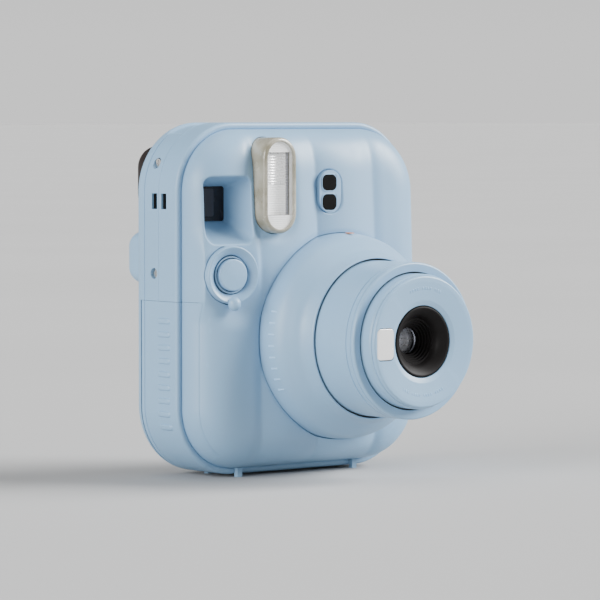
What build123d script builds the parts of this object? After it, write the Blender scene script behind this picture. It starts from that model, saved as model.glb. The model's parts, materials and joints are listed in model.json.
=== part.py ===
from build123d import *
import math
import os

# An instant camera with a pleated plastic body and a lens that extends.
# Design frame, millimetres: +Z up, the front faces -Y, +X is the right-hand side of
# the front. X = 0 is the body's middle, Y = 0 the front edge of its side band and
# Z = 0 the body's underside. Each finished sub-part is moved once into the row frame,
# whose origin is the middle of the camera's footprint, on the surface it stands on.

# Body
width = 104.0
height = 122.0
corner_radius = 24.0
wall = 2.0
gap = 0.4
parting_y = 10.4
band_back_y = 20.3
back_y = 24.8
rim_step = 2.3
pleat_pitch = 26.0
crease_y = -13.5
ridge_y = -15.5
shoulder = (46.0, -10.2)
brow = (37.5, -13.7)
panel_side = [(0, 2.0), (-6.5, 2.3), (-12.6, 7.5), (-15.6, 19), (-15.9, 50), (-15.0, 78),
              (-12.9, 99), (-9.3, 113), (-5.4, 118.4), (0, 120)]

# Lens
lens_x = 9.5
lens_z = 47.4
cowl_radius = 36.0
cowl_bore = 27.5
cowl_front_y = -33.0
cowl_back_y = -4.0
ring_radius = 27.0
ring_bore = 23.6
ring_front_y = -53.0
barrel_radius = 23.2
barrel_bore = 21.2
barrel_back_y = -23.5
face_y = -58.7
face_back_y = -57.2
bezel_radius = 12.2
shutter_radius = 17.5
blade_arm = 11.0

# Film chamber
chassis_x = (-25.8, 44.0)
chassis_z = (4.0, 99.4)
chassis_y = (1.0, 22.4)
chamber_x = (-23.4, 42.4)
chamber_z = (5.6, 97.8)
chamber_front_y = 3.0
frame_width = 46.0
frame_height = 62.0
film_y = 5.5
film_gap = 4.6

# Film drive and the film's exit slot
roller_z = 107.0
roller_radius = 3.0
roller_pinch = 0.4
shaft_radius = 1.2
running = 0.05
gear_module = 0.4
large_teeth = 32
small_teeth = 16
pinion_teeth = 10
motor_lean = math.radians(22)
slot_x = (-19.5, 38.5)
slot_y = (3.2, 3.2 + film_gap)

# Batteries, two AA cells
cell_radius = 7.2
cell_length = 50.0
cell_x = -35.3
cell_bottom_z = 10.0
tray_top_z = 62.4

# Back door and latch
hinge_x = 46.5
hinge_y = 22.6
knuckle_radius = 2.2
pin_radius = 0.8
hinge_z = (26.0, 96.0)
door_x = (-38.0, 44.0)
# room on the hinge side for the door's edge to swing out past the shell
hinge_relief = 0.6
door_z = (7.0, 115.0)
eyepiece_notch = (-26.0, 86.0)
latch_x = (-48.2, -39.4)
latch_z = (65.5, 84.5)
latch_back_y = 35.0
latch_travel = 4.0
latch_stem_z = (71.7, 80.3)

# Frame counter and the two strap slots
counter_centre = (-33.0, 73.0)
strap_z = (92.3, 97.7)

# Battery door
cover_edge_x = -39.5
cover_top_z = 60.5

# Shutter button, whose axis leans outwards
button_x = -38.2
button_z = 70.0
button_y = -13.2
button_lean = 8.0
lever_radius = 10.0
lever_bore = 6.8
button_radius = 5.5
mound_radius = 11.5

# Flash tube
flash_axis = (-19.55, -10.4)
flash_tube_radius = 1.3

# Feet
foot_height = 1.0
foot_x = 26.0

to_row = Location((0, -(face_y + latch_back_y) / 2, foot_height))
button_plane = Plane(
    origin=(button_x, button_y, button_z),
    x_dir=(math.cos(math.radians(button_lean)), -math.sin(math.radians(button_lean)), 0),
    z_dir=(-math.sin(math.radians(button_lean)), -math.cos(math.radians(button_lean)), 0),
)
button_axis = Axis(button_plane.origin, button_plane.z_dir)
button_section = Plane(
    origin=button_plane.origin,
    x_dir=button_plane.x_dir,
    z_dir=button_plane.x_dir.cross(button_plane.z_dir),
)


def save(part, name):
    """Write one sub-part as a STEP file, moved into the row frame."""
    shape = to_row * part
    shape.label = name
    export_step(shape, os.path.join("parts", name + ".step"))


def block(x, y, z):
    """A box between the two ends given for each axis."""
    size = (x[1] - x[0], y[1] - y[0], z[1] - z[0])
    middle = ((x[0] + x[1]) / 2, (y[0] + y[1]) / 2, (z[0] + z[1]) / 2)
    return Location(middle) * Box(*size)


def slab(sketch, y):
    """A sketch drawn in X and Z, made solid between two depths."""
    plane = Plane(origin=(0, y[1], 0), x_dir=(1, 0, 0), z_dir=(0, -1, 0))
    return extrude(plane * sketch, y[1] - y[0])


def rounded(x, z, radius):
    """A rounded rectangle drawn in X and Z."""
    middle = Location(((x[0] + x[1]) / 2, (z[0] + z[1]) / 2, 0))
    return middle * RectangleRounded(x[1] - x[0], z[1] - z[0], radius)


def outline(inset):
    """The body's front outline, drawn in by inset."""
    edge = width / 2 - inset
    return rounded((-edge, edge), (inset, height - inset), corner_radius - inset)


def rod(centre, radius, y):
    """A cylinder along Y about a point given in X and Z."""
    return slab(Location((centre[0], centre[1], 0)) * Circle(radius), y)


def rod_x(centre, radius, x):
    """A cylinder along X about a point given in Y and Z."""
    plane = Plane(origin=(x[0], centre[0], centre[1]), x_dir=(0, 1, 0), z_dir=(1, 0, 0))
    return extrude(plane * Circle(radius), x[1] - x[0])


def rod_z(centre, radius, z):
    """A cylinder along Z about a point given in X and Y."""
    disc = Location((centre[0], centre[1], 0)) * Circle(radius)
    return extrude(Plane.XY.offset(z[0]) * disc, z[1] - z[0])


def turned(points):
    """A ring turned about the lens axis from points given as radius and Y."""
    plane = Plane(origin=(lens_x, 0, lens_z), x_dir=(1, 0, 0), z_dir=(0, 0, 1))
    profile = make_face(Polyline(*points, close=True))
    return revolve(plane * profile, Axis((lens_x, 0, lens_z), (0, 1, 0)))


def tube(outer, inner, y):
    """A plain tube about the lens axis."""
    return turned([(outer, y[0]), (outer, y[1]), (inner, y[1]), (inner, y[0])])


def button_disc(radius, low, high):
    """A disc on the shutter button's leaning axis, heights counted outwards."""
    return extrude(button_plane.offset(low) * Circle(radius), high - low)


def button_ring(outer, inner, low, high):
    """A ring on the shutter button's leaning axis."""
    return button_disc(outer, low, high) - button_disc(inner, low - 1, high + 1)


def button_turned(points):
    """A solid turned about the button's axis from points given as radius and height."""
    return revolve(button_section * make_face(Polyline(*points, close=True)), button_axis)


def gear(teeth, centre, x, bore, turn):
    """A spur gear on an axis along X. turn is its first tooth's angle in pitches."""
    pitch_radius = gear_module * teeth / 2
    step = 2 * math.pi / teeth
    levels = [(-1.15, -0.30), (0.75, -0.11), (0.75, 0.11), (-1.15, 0.30)]
    points = []
    for tooth in range(teeth):
        for height_in_modules, share in levels:
            reach = pitch_radius + gear_module * height_in_modules
            angle = step * (tooth + turn + share)
            points.append((reach * math.cos(angle), reach * math.sin(angle)))
    plane = Plane(origin=(x[0], centre[0], centre[1]), x_dir=(0, 1, 0), z_dir=(1, 0, 0))
    wheel = extrude(plane * make_face(Polyline(*points, close=True)), x[1] - x[0])
    return wheel - rod_x(centre, bore, (x[0] - 1, x[1] + 1))


# ---- Body shells


def pleated_plan(inset, pleated):
    """The front panel's section from above, drawn in by inset, as a solid column."""
    across = 1 - inset / (width / 2 - rim_step)
    deep = 1 - inset / -crease_y
    edge = (width / 2 - rim_step) * across
    first = pleat_pitch * across
    crest = crease_y * deep
    points = [(edge, 0)] + [(x * across, y * deep) for x, y in (shoulder, brow)] + [(first, crest)]
    slopes = [(0, -1), (-1, 0.1)]
    middle = Line((-first, crest), (first, crest))
    if pleated:
        bands = [
            ThreePointArc((x, crest), (x + first / 2, ridge_y), (x + first, crest))
            for x in (-first, 0)
        ]
        middle = Curve() + bands
    sides = [
        Spline(*points, tangents=slopes),
        Spline(*[(-x, y) for x, y in points], tangents=[(-x, y) for x, y in slopes]),
        Polyline((edge, 0), (edge, 1), (-edge, 1), (-edge, 0)),
    ]
    return extrude(make_face(Curve() + [middle] + sides), height)


def domed_side(inset):
    """The front panel's section from the side, drawn in by inset, as a solid bar."""
    middle_z = height / 2
    scale_y = 1 + inset / ridge_y
    scale_z = 1 - inset / middle_z
    points = [(y * scale_y, middle_z + (z - middle_z) * scale_z) for y, z in panel_side]
    back = Polyline(points[-1], (1, points[-1][1]), (1, points[0][1]), points[0])
    plane = Plane(origin=(-width / 2, 0, 0), x_dir=(0, 1, 0), z_dir=(1, 0, 0))
    return extrude(plane * make_face(Curve() + [Spline(*points), back]), width)


def panel(inset, pleated):
    """The puffed front panel in front of the side band."""
    form = slab(outline(rim_step + inset), (2 * ridge_y, 1)) & pleated_plan(inset, pleated)
    return form & domed_side(inset)


def interior(clearance):
    """The room inside the two shells, less a clearance."""
    inset = wall + clearance
    band = slab(outline(inset), (inset, back_y - inset))
    throat = slab(outline(rim_step + inset), (0, inset))
    return band + throat + panel(inset, False)


def cover_zone(clearance):
    """The corner of the side band that the battery door takes."""
    return block(
        (-width, cover_edge_x + clearance),
        (0.3 - clearance, band_back_y - 0.3 + clearance),
        (-1, cover_top_z + clearance),
    )


def viewfinder_funnel(grow):
    """The flared pocket in front of the viewfinder window."""
    mouth = Plane(origin=(0, -18, 0), x_dir=(1, 0, 0), z_dir=(0, -1, 0))
    throat = Plane(origin=(0, 0.5, 0), x_dir=(1, 0, 0), z_dir=(0, -1, 0))
    wide = rounded((-46.8 - grow, -28.6 + grow), (80.6 - grow, 105.6 + grow), 3.0 + grow)
    narrow = rounded((-45.0 - grow, -32.0 + grow), (89.0 - grow, 101.0 + grow), 1.5 + grow)
    return loft([mouth * wide, throat * narrow])


def front_shell():
    """The pleated front casing with its rim, openings and battery door corner."""
    whole_panel = panel(0, True)
    shell = slab(outline(0), (0, parting_y)) + whole_panel - interior(0)
    shell = shell + (viewfinder_funnel(1.2) & whole_panel)
    shell = shell - viewfinder_funnel(0)
    shell = shell - rod((lens_x, lens_z), cowl_radius + 0.3, (2 * ridge_y, 0))
    shell = shell - slab(rounded((-27.1, -12.0), (84.7, 117.3), 7.5), (2 * ridge_y, 0))
    shell = shell - slab(rounded((0.4, 10.6), (90.3, 105.7), 5.0), (2 * ridge_y, 0))
    mound = button_ring(mound_radius, lever_radius + 0.3, -9.0, 0.6) - interior(0)
    shell = shell + (mound - block((-width, width), (0, width), (0, height)))
    shell = shell - button_disc(lever_radius + 0.3, -8, 8)
    shell = shell - block(slot_x, slot_y, (height - 9, height + 1))
    shell = shell - block((-30, 44), (1.4, 9.8), (height - 0.8, height + 1))
    shell = shell - block((-width, -45), (5.85, 8.75), strap_z)
    for centre in cell_centres():
        shell = shell - rod_z(centre, cell_radius + 0.3, (cell_bottom_z - 0.3, cover_top_z))
    return shell - cover_zone(0.3)


def rear_shell():
    """The rear casing, with the doorway to the film chamber and the hinge lugs."""
    shell = slab(outline(0), (parting_y + 0.05, back_y))
    shell = fillet(shell.faces().sort_by(Axis.Y)[-1].edges(), back_y - band_back_y)
    shell = shell - slab(outline(wall), (0, back_y - wall))
    for z in ((hinge_z[0] - 4.4, hinge_z[0]), (hinge_z[1], hinge_z[1] + 4.4)):
        shell = shell + block((44.4, 49.2), (20.2, back_y - 0.2), z)
    doorway = slab(door_outline(gap), (back_y - wall - 0.1, back_y + 1))
    shell = shell - doorway - Location((hinge_relief, 0, 0)) * doorway
    knuckle_room = block((43, 49.1), (19, back_y + 1), (hinge_z[0], hinge_z[1]))
    shell = shell - knuckle_room
    shell = shell - rod_z((hinge_x, hinge_y), pin_radius, (hinge_z[0] - 4, hinge_z[1] + 4))
    slot_z = (latch_stem_z[0] - latch_travel - 0.3, latch_stem_z[1] + 0.3)
    shell = shell - block((-45.2, -41.8), (19, back_y + 1), slot_z)
    shell = shell - slab(eyepiece_outline(), (back_y - wall - 1, back_y + 1))
    shell = shell - block((-width, -45), (11.15, 14.05), strap_z)
    for y, z in ((14, 108), (13, 70)):
        shell = shell - rod_x((y, z), 1.75, (-width, -45))
    return shell - cover_zone(0.3)


def battery_door():
    """The side cover that wraps round the grip's lower corner."""
    return slab(outline(0) - outline(wall), (0, band_back_y)) & cover_zone(0)


def door_outline(grow):
    """The back door's outline, with the corner for the eyepiece left out."""
    shape = rounded(
        (door_x[0] - grow, door_x[1] + grow), (door_z[0] - grow, door_z[1] + grow), 16 + grow
    )
    corner = rounded(
        (door_x[0] - 20, eyepiece_notch[0] - grow), (eyepiece_notch[1] + grow, height + 20), 4
    )
    return shape - corner


def back_door():
    """The film door: a panel, its hinge knuckle and two window openings."""
    door = slab(door_outline(0), (back_y - wall, back_y))
    trimmed_x = (door_x[1] - hinge_relief, door_x[1] + 1)
    for z in ((0, 26.4), (95.6, height)):
        door = door - block(trimmed_x, (back_y - wall - 1, back_y + 1), z)
    strip = block((door_x[1] - 1, hinge_x), (back_y - wall, back_y), (26.4, 95.6))
    door = door + strip + rod_z((hinge_x, hinge_y), knuckle_radius, (26.4, 95.6))
    door = door - rod_z((hinge_x, hinge_y), pin_radius + running, (20, 100))
    door = door - slab(film_window_outline(), (back_y - wall - 1, back_y + 1))
    return door - slab(counter_window_outline(), (back_y - wall - 1, back_y + 1))


def film_window_outline():
    """The window that shows whether a film cartridge is loaded."""
    return rounded((-1, 14), (50, 58), 2.5)


def counter_window_outline():
    """The window over the frame counter."""
    x, z = counter_centre
    return rounded((x - 3.5, x + 3.5), (z - 3.5, z + 3.5), 2.5)


def eyepiece_outline():
    """The viewfinder eyepiece's surround."""
    return rounded((-46.5, -30.5), (90.5, 113), 7.6)


def eyepiece_surround():
    """The dark rim round the viewfinder eyepiece."""
    rim = slab(eyepiece_outline(), (back_y - wall, 28.6))
    rim = fillet(rim.faces().sort_by(Axis.Y)[-1].edges(), 2.4)
    pocket = slab(rounded((-43.5, -33.5), (91.8, 102.2), 3.5), (back_y - wall - 1, 30))
    return rim - pocket


def feet(casing):
    """Four small feet that meet the casing's underside."""
    pads = [
        block((x - 1, x + 1), y, (-foot_height, top))
        for x in (-foot_x, foot_x)
        for y, top in (((-1.9, -0.1), rim_step + 0.5), ((15, 17), 0))
    ]
    return Part() + [pad - casing for pad in pads]


# ---- Lens


def lens_cowl():
    """The flared fixed collar round the lens barrel."""
    return turned([
        (cowl_radius, cowl_back_y), (cowl_radius, -20.3), (35.3, -22.6), (33.2, -24.8),
        (30.6, -26.2), (28.9, -28.0), (28.2, -30.5), (28.0, cowl_front_y),
        (cowl_bore, cowl_front_y), (cowl_bore, -14), (29, -14), (29, -23.6),
        (32.4, -22.4), (33.8, -20), (33.8, cowl_back_y),
    ])


def index_mark():
    """The small coloured mark on top of the cowl."""
    mark = block((lens_x - 0.6, lens_x + 0.6), (-20.6, -17.4), (lens_z + 35.9, lens_z + 36.3))
    return mark - rod((lens_x, lens_z), cowl_radius, (-30, 0))


def lens_ring():
    """The outer barrel, turned by hand, with two fine grooves near its front."""
    ring = turned([
        (ring_radius, barrel_back_y), (ring_radius, -52.3), (26.4, ring_front_y),
        (ring_bore, -52.7), (ring_bore, barrel_back_y),
    ])
    for y in (-49.0, -51.4):
        ring = ring - tube(ring_radius + 1, ring_radius - 0.35, (y - 0.25, y + 0.25))
    return ring


def inner_barrel():
    """The sliding barrel that carries the shutter and the lens."""
    return turned([
        (barrel_radius, barrel_back_y), (barrel_radius, -56.4), (22.8, face_back_y),
        (bezel_radius + 0.2, face_back_y), (bezel_radius + 0.2, face_back_y + 2),
        (barrel_bore, face_back_y + 2), (barrel_bore, barrel_back_y),
    ])


def mirror_outline(grow):
    """The selfie mirror's outline beside the lens."""
    x = lens_x - 17.3
    z = (lens_z - 5.6 - grow, lens_z + 5.0 + grow)
    return rounded((x - 3.75 - grow, x + 3.75 + grow), z, 1.6 + grow)


def face_plate():
    """The flat front disc with its mirror recess."""
    plate = turned([
        (22.6, face_back_y), (22.6, face_y + 0.7), (21.9, face_y), (bezel_radius + 1.6, face_y),
        (bezel_radius + 0.2, face_y + 1.2), (bezel_radius + 0.2, face_back_y),
    ])
    return plate - slab(mirror_outline(0.25), (face_y - 1, face_y + 0.9))


def selfie_mirror():
    """The small mirror on the front disc."""
    return slab(mirror_outline(0), (face_y + 0.3, face_y + 0.9))


def lens_bezel():
    """The black stepped cone in front of the lens."""
    return turned([
        (bezel_radius, -57.4), (bezel_radius, -47.0), (4.6, -47.0), (4.6, -49.6), (5.6, -49.6),
        (5.9, -51.4), (7.2, -51.4), (7.85, -54.4), (11.6, -57.4),
    ])


def front_lens():
    """The front glass, bulging forwards."""
    ball = 14.0
    dome = Location((lens_x, ball - 49.3, lens_z)) * Sphere(ball)
    return dome & rod((lens_x, lens_z), 4.5, (-50, -47.0))


def shutter_housing():
    """The cup behind the face that holds the shutter, with two pivot pins."""
    cup = tube(shutter_radius, 16.3, (face_back_y + 2, -43.5))
    floor = tube(shutter_radius, 4.6, (-47.0, -45.5))
    collar = tube(13.6, bezel_radius + 0.1, (face_back_y + 2, -47.0))
    pins = [rod((lens_x + side * blade_arm, lens_z), 0.6, (-45.6, -43.5)) for side in (-1, 1)]
    return cup + floor + collar + pins


def shutter_blade(side, y):
    """One thin blade, from its pivot to the middle of the lens."""
    pivot = (lens_x + side * blade_arm, lens_z)
    leaf = rod((lens_x, lens_z), 4.9, y) + rod(pivot, 1.8, y)
    arm = block(sorted((lens_x, pivot[0])), y, (lens_z - 1.4, lens_z + 1.4))
    return leaf + arm - rod(pivot, 0.6 + running, (y[0] - 1, y[1] + 1))


def shutter_cover():
    """The shutter's rear cover with the rear lens seat."""
    seat = tube(8.4, 7.0, (-42.3, -39.4))
    return tube(shutter_radius, 4.6, (-43.5, -42.3)) + seat


def rear_lens():
    """The rear glass in its seat."""
    ball = 22.0
    dome = Location((lens_x, -39.8 - ball, lens_z)) * Sphere(ball)
    return dome & rod((lens_x, lens_z), 7.0, (-42.3, -39))


def shutter_solenoid():
    """The coil that fires the shutter."""
    body = block((lens_x - 5, lens_x + 5), (-42.3, -37), (lens_z - 15.6, lens_z - 9.6))
    plunger = rod_x((-39.6, lens_z - 12.6), 1.2, (lens_x + 5, lens_x + 8))
    return body + plunger


# ---- Viewfinder, flash and light sensor


def viewfinder_window():
    """The clear window at the bottom of the funnel."""
    return slab(rounded((-45.2, -31.8), (88.8, 101.2), 1.5), (0.6, 1.8))


def viewfinder_tube():
    """The square tube between the window and the eyepiece."""
    outer = block((-45.6, -31.4), (2.2, 22.4), (88.4, 102.6))
    return outer - block((-44.2, -32.8), (0, 24), (89.8, 101.2))


def viewfinder_lens(y, bulge_side):
    """One square-edged viewfinder lens with a bulge towards one side."""
    blank = block((-44.1, -32.9), y, (89.9, 101.1))
    ball = 40.0
    face = y[0] if bulge_side < 0 else y[1]
    centre_y = face - bulge_side * ball
    return blank & (Location((-38.5, centre_y, 95.5)) * Sphere(ball))


def flash_cover():
    """The clear rounded cover that stands proud of the panel."""
    cup = slab(rounded((-26.8, -12.3), (85, 117), 7.2), (-16.8, -6))
    cup = fillet(cup.faces().sort_by(Axis.Y)[0].edges(), 1.4)
    return cup - slab(rounded((-25.4, -13.7), (86.4, 115.6), 5.8), (-15.4, -5))


def flash_reflector():
    """The bright trough behind the flash tube."""
    trough = block((-24.6, -14.5), (-12.6, -6.4), (90, 112))
    hollow = Location((-19.55, -12.8, 101)) * scale(Cylinder(1, 20), (4.6, 5.2, 1))
    return trough - hollow - rod_z(flash_axis, flash_tube_radius, (85, 115))


def flash_tube():
    """The glass discharge tube, held by the reflector's ends."""
    return rod_z(flash_axis, flash_tube_radius, (88.2, 113.8))


def flash_capacitor():
    """The flash storage capacitor."""
    return rod_x((-4.9, 93.0), 4.0, (12, 38))


def sensor_plate():
    """The oval plate that carries the light sensor's two windows."""
    plate = slab(rounded((0.6, 10.4), (90.5, 105.5), 4.8), (-13.2, -10.5))
    for z in (94.6, 101.4):
        plate = plate - slab(rounded((2.5, 8.5), (z - 2.6, z + 2.6), 1.2), (-14, -12.2))
    return plate


def sensor_windows():
    """Two dark windows in the sensor plate."""
    return Part() + [
        slab(rounded((2.5, 8.5), (z - 2.6, z + 2.6), 1.2), (-13.4, -12.2)) for z in (94.6, 101.4)
    ]


# ---- Chassis, film drive and batteries


def chassis():
    """The frame round the film chamber, open at the back."""
    body = block(chassis_x, chassis_y, chassis_z) & interior(gap)
    chamber = block(chamber_x, (chamber_front_y, 30), chamber_z)
    body = body - (chamber & slab(outline(wall + 1.8), (-5, 30)))
    picture_x = (lens_x - frame_width / 2, lens_x + frame_width / 2)
    picture_z = (lens_z - frame_height / 2, lens_z + frame_height / 2)
    body = body - block(picture_x, (0, 4), picture_z)
    body = body - block((-19, 38), (3.4, 7.8), (95, 101))
    return body - block((-21.4, -19.6), (0, 4), (8.6, 17.0))


def light_baffle():
    """The ring that keeps light out between the cowl and the chassis."""
    frame = block((-25.4, 44), (cowl_back_y, 1.0), (lens_z - 36, lens_z + 36))
    frame = frame & interior(gap)
    frame = frame - rod((lens_x, lens_z), 33.8, (-5, 2))
    return frame - block((-23.4, -17.8), (-1.4, 2), (6, 37))


def roller_centre(side):
    """Where a roller's axis is in Y and Z: -1 for the front one, 1 for the rear one."""
    return (film_y + side * (roller_radius + roller_pinch / 2), roller_z)


def roller_bracket():
    """The bracket that holds both rollers over the film slot."""
    base = block((-21.5, 40.5), (-2, 13), (99.8, 101))
    bracket = base - block((-19, 38), slot_y, (99, 102))
    for x in ((-21.5, -20), (39, 40.5)):
        bracket = bracket + block(x, (-2, 13), (99.8, 112))
    for side in (-1, 1):
        bracket = bracket - rod_x(roller_centre(side), shaft_radius + running, (-30, 50))
    return bracket


def film_roller(side, shaft_x):
    """A steel roller with its two shaft ends."""
    centre = roller_centre(side)
    return rod_x(centre, roller_radius, (-19, 38)) + rod_x(centre, shaft_radius, shaft_x)


def motor_centre():
    """The motor's axis in Y and Z, one gear mesh away from the front roller."""
    reach = gear_module * (large_teeth + pinion_teeth) / 2
    front = roller_centre(-1)
    return (front[0] + reach * math.cos(motor_lean), front[1] + reach * math.sin(motor_lean))


def motor():
    """The film motor."""
    body = rod_x(motor_centre(), 5.8, (-38, -25.4))
    return body - rod_x(motor_centre(), 0.8 + running, (-30, -20))


def motor_pinion():
    """The motor's pinion and shaft, in mesh with the large roller gear."""
    centre = motor_centre()
    large_step = 2 * math.pi / large_teeth
    pinion_step = 2 * math.pi / pinion_teeth
    phase = (motor_lean + math.pi) / pinion_step - 0.5 + motor_lean / large_step
    wheel = gear(pinion_teeth, centre, (-24.2, -22.2), 0.6, phase)
    return wheel + rod_x(centre, 0.8, (-30, -22.2))


def exit_seals():
    """Two soft strips that keep light out of the film slot."""
    room = interior(0.1)
    return Part() + [
        block((-20, 39), y, (113.6, height)) & room for y in ((1.6, 3.2), (7.8, 9.4))
    ]


def film_claw():
    """The claw that pushes a print up out of the chamber."""
    arm = block((-22.4, -18.8), (-0.7, 0.6), (9, 30))
    return arm + block((-21.1, -19.9), (0.5, 4.2), (9.2, 11.4))


def battery_box():
    """The tray for the two cells, open towards the battery door."""
    box = block((-44, -26.9), (-8.6, 22.2), (8.6, tray_top_z))
    box = box - block((-50, -28.0), (-7.6, 21.8), (cell_bottom_z - 0.4, 61.2))
    return (box & interior(gap)) - button_disc(mound_radius + gap, -20, 5)


def cell_centres():
    """The cells' axes in X and Y, one behind the other."""
    return [(cell_x, y) for y in (-0.2, 14.3)]


def batteries():
    """Two cells with their positive buttons."""
    cells = []
    for index, centre in enumerate(cell_centres()):
        button_low = cell_bottom_z + (cell_length - 1.2) * (1 - index)
        low = cell_bottom_z + 1.2 * index
        can = rod_z(centre, cell_radius, (low, low + cell_length - 1.2))
        cells.append(can + rod_z(centre, 2.6, (button_low, button_low + 1.2)))
    return Part() + cells


def battery_contacts():
    """Metal contact plates at the cells' upper ends."""
    return Part() + [
        rod_z(centre, 4.5, (cell_bottom_z + cell_length, 61.2)) for centre in cell_centres()
    ]


def main_board():
    """The circuit board over the lens, cut to the room inside the shells."""
    board = block((-24, 43.6), (-0.5, 0.5), (85, 98.8))
    chips = [block((x, x + 6), (-1.7, -0.5), (86.5, 91)) for x in (-21, -8, 1)]
    return (board + chips) & interior(gap)


def counter_axle():
    """The stub that the frame counter turns on, and its foot on the battery tray."""
    x, z = counter_centre
    post = rod(counter_centre, 1.0, (14, 21.9))
    return post + block((x - 2.5, x + 2.5), (14, 16), (tray_top_z, z + 2))


def counter_wheel():
    """The frame counter's dial."""
    x, z = counter_centre
    dial = rod(counter_centre, 6.6, (20.2, 21.4)) - rod(counter_centre, 1.0 + running, (19, 23))
    notches = [
        Location((x, 0, z), (0, 36 * index, 0)) * block((-0.3, 0.3), (20, 22), (6.1, 8))
        for index in range(10)
    ]
    return dial - notches


# ---- Shutter button


def button_seat():
    """The fixed seat under the button and its lever."""
    seat = button_disc(lever_radius, -4.2, -3.1) + button_ring(6.4, 5.9, -3.2, -0.6)
    return seat - button_disc(2.3, -6, 0)


def self_timer_lever():
    """The ring lever round the button, with a ball for the finger."""
    ring = button_turned([
        (lever_bore, -2.7), (lever_bore, -1.0), (9.0, 0.6), (9.6, 1.2), (lever_radius, 0.9),
        (lever_radius, -2.7),
    ])
    ball = button_plane * Location((0, -lever_radius - 0.2, 1.6)) * Sphere(2.2)
    return ring + (ball - button_disc(20, -6, 0.95))


def shutter_button():
    """The release button and its stem."""
    return button_turned([
        (0, -7.6), (2.0, -7.6), (2.0, -1.2), (button_radius, -1.2), (button_radius, 0.5),
        (4.7, 1.0), (0, 1.2),
    ])


def button_spring():
    """The thin wave washer that lifts the button."""
    return button_ring(4.6, 2.6, -3.1, -2.9)


def release_switch():
    """The switch under the button's stem."""
    return extrude(button_plane.offset(-13) * Rectangle(7, 6), 3.6)


# ---- Back door fittings, latch and screws


def pressure_springs():
    """Two leaf springs on the door that press the film cartridge forwards."""
    return Part() + [
        slab(rounded((lens_x + x - 4, lens_x + x + 4), (34, 78), 3), (22.3, 22.8))
        for x in (-17, 17)
    ]


def door_latch():
    """The sprung latch beside the door, a domed finger piece on a stem."""
    dome = slab(rounded(latch_x, latch_z, 4.2), (back_y + 0.3, latch_back_y))
    dome = fillet(dome.faces().sort_by(Axis.Y)[-1].edges(), 3.6)
    stem = block((-44.9, -42.1), (19.4, back_y + 0.4), latch_stem_z)
    foot = block((-46.4, -40.6), (19.4, 21.4), (70.5, 80.3))
    return dome + stem + foot


def latch_spring():
    """The coil spring under the latch's foot."""
    return rod_z((-43.5, 20.4), 1.4, (63.4, 70.5)) - rod_z((-43.5, 20.4), 0.9, (63, 71))


def side_screws():
    """Two cross-head screws in the grip's side."""
    screws = []
    for x, y, z in ((-49.2, 14, 108), (-51.1, 13, 70)):
        head = rod_x((y, z), 1.6, (x, x + 1.1)) + rod_x((y, z), 0.7, (x + 1, x + 5))
        cross = block((x - 1, x + 0.5), (y - 1.1, y + 1.1), (z - 0.22, z + 0.22))
        cross = cross + block((x - 1, x + 0.5), (y - 0.22, y + 0.22), (z - 1.1, z + 1.1))
        screws.append(head - cross)
    return Part() + screws


def build_all():
    """Make and save every sub-part."""
    front, rear = roller_centre(-1), roller_centre(1)
    front_casing, rear_casing = front_shell(), rear_shell()
    sub_parts = {
        "front_shell": front_casing,
        "rear_shell": rear_casing,
        "battery_door": battery_door(),
        "back_door": back_door(),
        "film_window": slab(film_window_outline(), (back_y - 1.6, back_y - 0.4)),
        "counter_window": slab(counter_window_outline(), (back_y - 1.6, back_y - 0.4)),
        "pressure_springs": pressure_springs(),
        "door_hinge_pin": rod_z((hinge_x, hinge_y), pin_radius, (hinge_z[0] - 4, hinge_z[1] + 4)),
        "eyepiece_surround": eyepiece_surround(),
        "feet": feet(front_casing + rear_casing),
        "lens_cowl": lens_cowl(),
        "index_mark": index_mark(),
        "lens_ring": lens_ring(),
        "inner_barrel": inner_barrel(),
        "face_plate": face_plate(),
        "selfie_mirror": selfie_mirror(),
        "lens_bezel": lens_bezel(),
        "front_lens": front_lens(),
        "shutter_housing": shutter_housing(),
        "shutter_blade_left": shutter_blade(-1, (-45.1, -44.8)),
        "shutter_blade_right": shutter_blade(1, (-44.4, -44.1)),
        "shutter_cover": shutter_cover(),
        "rear_lens": rear_lens(),
        "shutter_solenoid": shutter_solenoid(),
        "viewfinder_window": viewfinder_window(),
        "viewfinder_tube": viewfinder_tube(),
        "objective_lens": viewfinder_lens((3, 5), -1),
        "eyepiece_lens": viewfinder_lens((19, 21), 1),
        "flash_cover": flash_cover(),
        "flash_reflector": flash_reflector(),
        "flash_tube": flash_tube(),
        "flash_capacitor": flash_capacitor(),
        "sensor_plate": sensor_plate(),
        "sensor_windows": sensor_windows(),
        "main_board": main_board(),
        "chassis": chassis(),
        "light_baffle": light_baffle(),
        "roller_bracket": roller_bracket(),
        "drive_roller": film_roller(-1, (-24.6, 43.2)),
        "large_roller_gear": gear(large_teeth, front, (-24.2, -22.2), shaft_radius, 0),
        "small_roller_gear": gear(small_teeth, front, (41, 43), shaft_radius, 0),
        "pressure_roller": film_roller(1, (-21.4, 43.2)),
        "pressure_gear": gear(small_teeth, rear, (41, 43), shaft_radius, 0.5),
        "motor": motor(),
        "motor_pinion": motor_pinion(),
        "exit_seals": exit_seals(),
        "film_claw": film_claw(),
        "battery_box": battery_box(),
        "batteries": batteries(),
        "battery_contacts": battery_contacts(),
        "counter_axle": counter_axle(),
        "counter_wheel": counter_wheel(),
        "button_seat": button_seat(),
        "button_spring": button_spring(),
        "shutter_button": shutter_button(),
        "self_timer_lever": self_timer_lever(),
        "release_switch": release_switch(),
        "door_latch": door_latch(),
        "latch_spring": latch_spring(),
        "side_screws": side_screws(),
    }
    os.makedirs("parts", exist_ok=True)
    for name, part in sub_parts.items():
        save(part, name)


build_all()
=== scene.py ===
import json
import math
import bpy
import bmesh
import numpy as np
from mathutils import Matrix, Vector


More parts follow.
